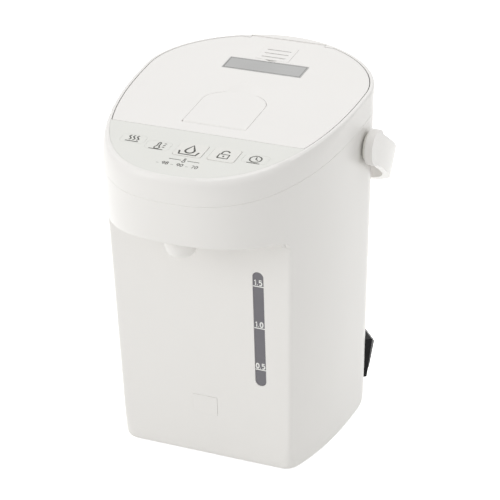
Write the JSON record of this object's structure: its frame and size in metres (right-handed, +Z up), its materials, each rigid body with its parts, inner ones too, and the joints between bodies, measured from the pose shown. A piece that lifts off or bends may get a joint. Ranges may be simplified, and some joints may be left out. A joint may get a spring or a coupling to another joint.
{
  "type": "electric thermo pot",
  "caption": "Electric thermo pot: tapered casing with a flat front, spout hood over it, sloping key panel, hinged lid with a lever, swing handle and rear power inlet",
  "frame": {"origin": "bottom centre of the part's bounding box, on the table under the feet", "axes": "+Z up, front with the nozzle towards -Y, +X to the right of someone who faces the front; the left and right sides mirror each other but for the gauge, the pump and the inlet"},
  "size_m": [0.205, 0.2548, 0.2848],
  "materials": {
    "gloss_ivory": "warm off-white injection moulded shell, gloss",
    "key_white": "raised keys",
    "panel_film": "light grey printed film",
    "black_plastic": "black moulding",
    "grey_plastic": "dark grey moulding",
    "moulded_white": "white heat resistant moulding",
    "silicone": "translucent silicone rubber",
    "foot_rubber": "light grey rubber",
    "stainless": "satin stainless steel",
    "aluminium_plate": "satin",
    "felt": "pressed fibre felt",
    "ceramic": "ceramic body",
    "board_green": "glass fibre board",
    "switch_black": "tactile switches",
    "lamp_green": "moulded lamps",
    "clear_tube": "clear tube",
    "smoked_window": "smoked clear glazing"
  },
  "bodies": {
    "body": {"outer_casing": "gloss_ivory", "top_frame": "gloss_ivory", "hood_floor": "gloss_ivory", "nozzle": "gloss_ivory", "base_plate": "gloss_ivory", "badge_tile": "gloss_ivory", "control_panel": "panel_film", "inlet_housing": "black_plastic", "gauge_backing": "grey_plastic", "pump_motor": "grey_plastic", "power_components": "grey_plastic", "handle_pivots": "moulded_white", "pump_housing": "moulded_white", "pump_cover": "moulded_white", "tilt_valve_body": "moulded_white", "vessel_seal": "silicone", "pump_gasket": "silicone", "suction_sleeve": "silicone", "delivery_hose": "silicone", "spout_pipe": "silicone", "feet": "foot_rubber", "inner_vessel": "stainless", "heater_clamp": "stainless", "base_screws": "stainless", "lid_hinge_pin": "stainless", "inlet_magnet_plate": "stainless", "inlet_pins": "stainless", "heater_plate": "aluminium_plate", "thermistor": "aluminium_plate", "insulation_sleeve": "felt", "thermal_fuse": "ceramic", "control_board": "board_green", "power_board": "board_green", "key_switches": "switch_black", "indicator_lamps": "lamp_green", "gauge_tube": "clear_tube", "gauge_window": "smoked_window"},
    "dispense_key": {"dispense_key": "key_white"},
    "unlock_key": {"unlock_key": "key_white"},
    "reboil_key": {"reboil_key": "panel_film"},
    "keep_warm_key": {"keep_warm_key": "panel_film"},
    "timer_key": {"timer_key": "panel_film"},
    "pump_rotor": {"pump_shaft": "stainless", "impeller": "moulded_white"},
    "valve_ball": {"tilt_valve_ball": "stainless"},
    "lid": {"lid_top": "gloss_ivory", "lid_underside": "moulded_white", "lid_seal": "silicone", "steam_duct": "moulded_white", "steam_vent_cap": "gloss_ivory", "foil_plate": "aluminium_plate", "lever_pin": "stainless"},
    "lid_lever": {"lid_lever": "gloss_ivory", "lever_springs": "stainless"},
    "latch_bolt": {"latch_bolt": "moulded_white"},
    "handle": {"handle_bail": "gloss_ivory"}
  },
  "joints": [
    {"name": "lid_hinge", "type": "hinge", "parent": "body", "child": "lid", "pos_m": [0, 0.09934, 0.28229], "axis": [-1, 0, 0], "range_deg": [0, 88]},
    {"name": "lid_lever_hinge", "type": "hinge", "parent": "lid", "child": "lid_lever", "pos_m": [0, -0.04257, 0.26612], "axis": [1, 0, 0], "range_deg": [0, 30], "stiffness_Nm_per_rad": 0.05, "springref_deg": -11.46},
    {"name": "latch_slide", "type": "slide", "parent": "lid", "child": "latch_bolt", "axis": [0, 0.9947, 0.1028], "range_m": [0, 0.00435]},
    {"name": "handle_swing", "type": "hinge", "parent": "body", "child": "handle", "pos_m": [0, 0.02773, 0.237], "axis": [1, 0, 0], "range_deg": [0, 140]},
    {"name": "pump_spin", "type": "hinge", "parent": "body", "child": "pump_rotor", "pos_m": [0.0355, -0.01427, 0.027], "axis": [0, 0, 1], "continuous": true},
    {"name": "valve_ball_lift", "type": "slide", "parent": "body", "child": "valve_ball", "axis": [0, 0, 1], "range_m": [0, 0.0035]},
    {"name": "dispense_press", "type": "slide", "parent": "body", "child": "dispense_key", "axis": [0, 0.1028, -0.9947], "range_m": [0, 0.0006], "stiffness_N_per_m": 900},
    {"name": "unlock_press", "type": "slide", "parent": "body", "child": "unlock_key", "axis": [0, 0.1028, -0.9947], "range_m": [0, 0.0006], "stiffness_N_per_m": 900},
    {"name": "reboil_press", "type": "slide", "parent": "body", "child": "reboil_key", "axis": [0, 0.1028, -0.9947], "range_m": [0, 0.0006], "stiffness_N_per_m": 900},
    {"name": "keep_warm_press", "type": "slide", "parent": "body", "child": "keep_warm_key", "axis": [0, 0.1028, -0.9947], "range_m": [0, 0.0006], "stiffness_N_per_m": 900},
    {"name": "timer_press", "type": "slide", "parent": "body", "child": "timer_key", "axis": [0, 0.1028, -0.9947], "range_m": [0, 0.0006], "stiffness_N_per_m": 900}
  ],
  "couplings": [
    {"joint": "latch_slide", "follows": "lid_lever_hinge", "m_per_rad": 0.0083}
  ]
}
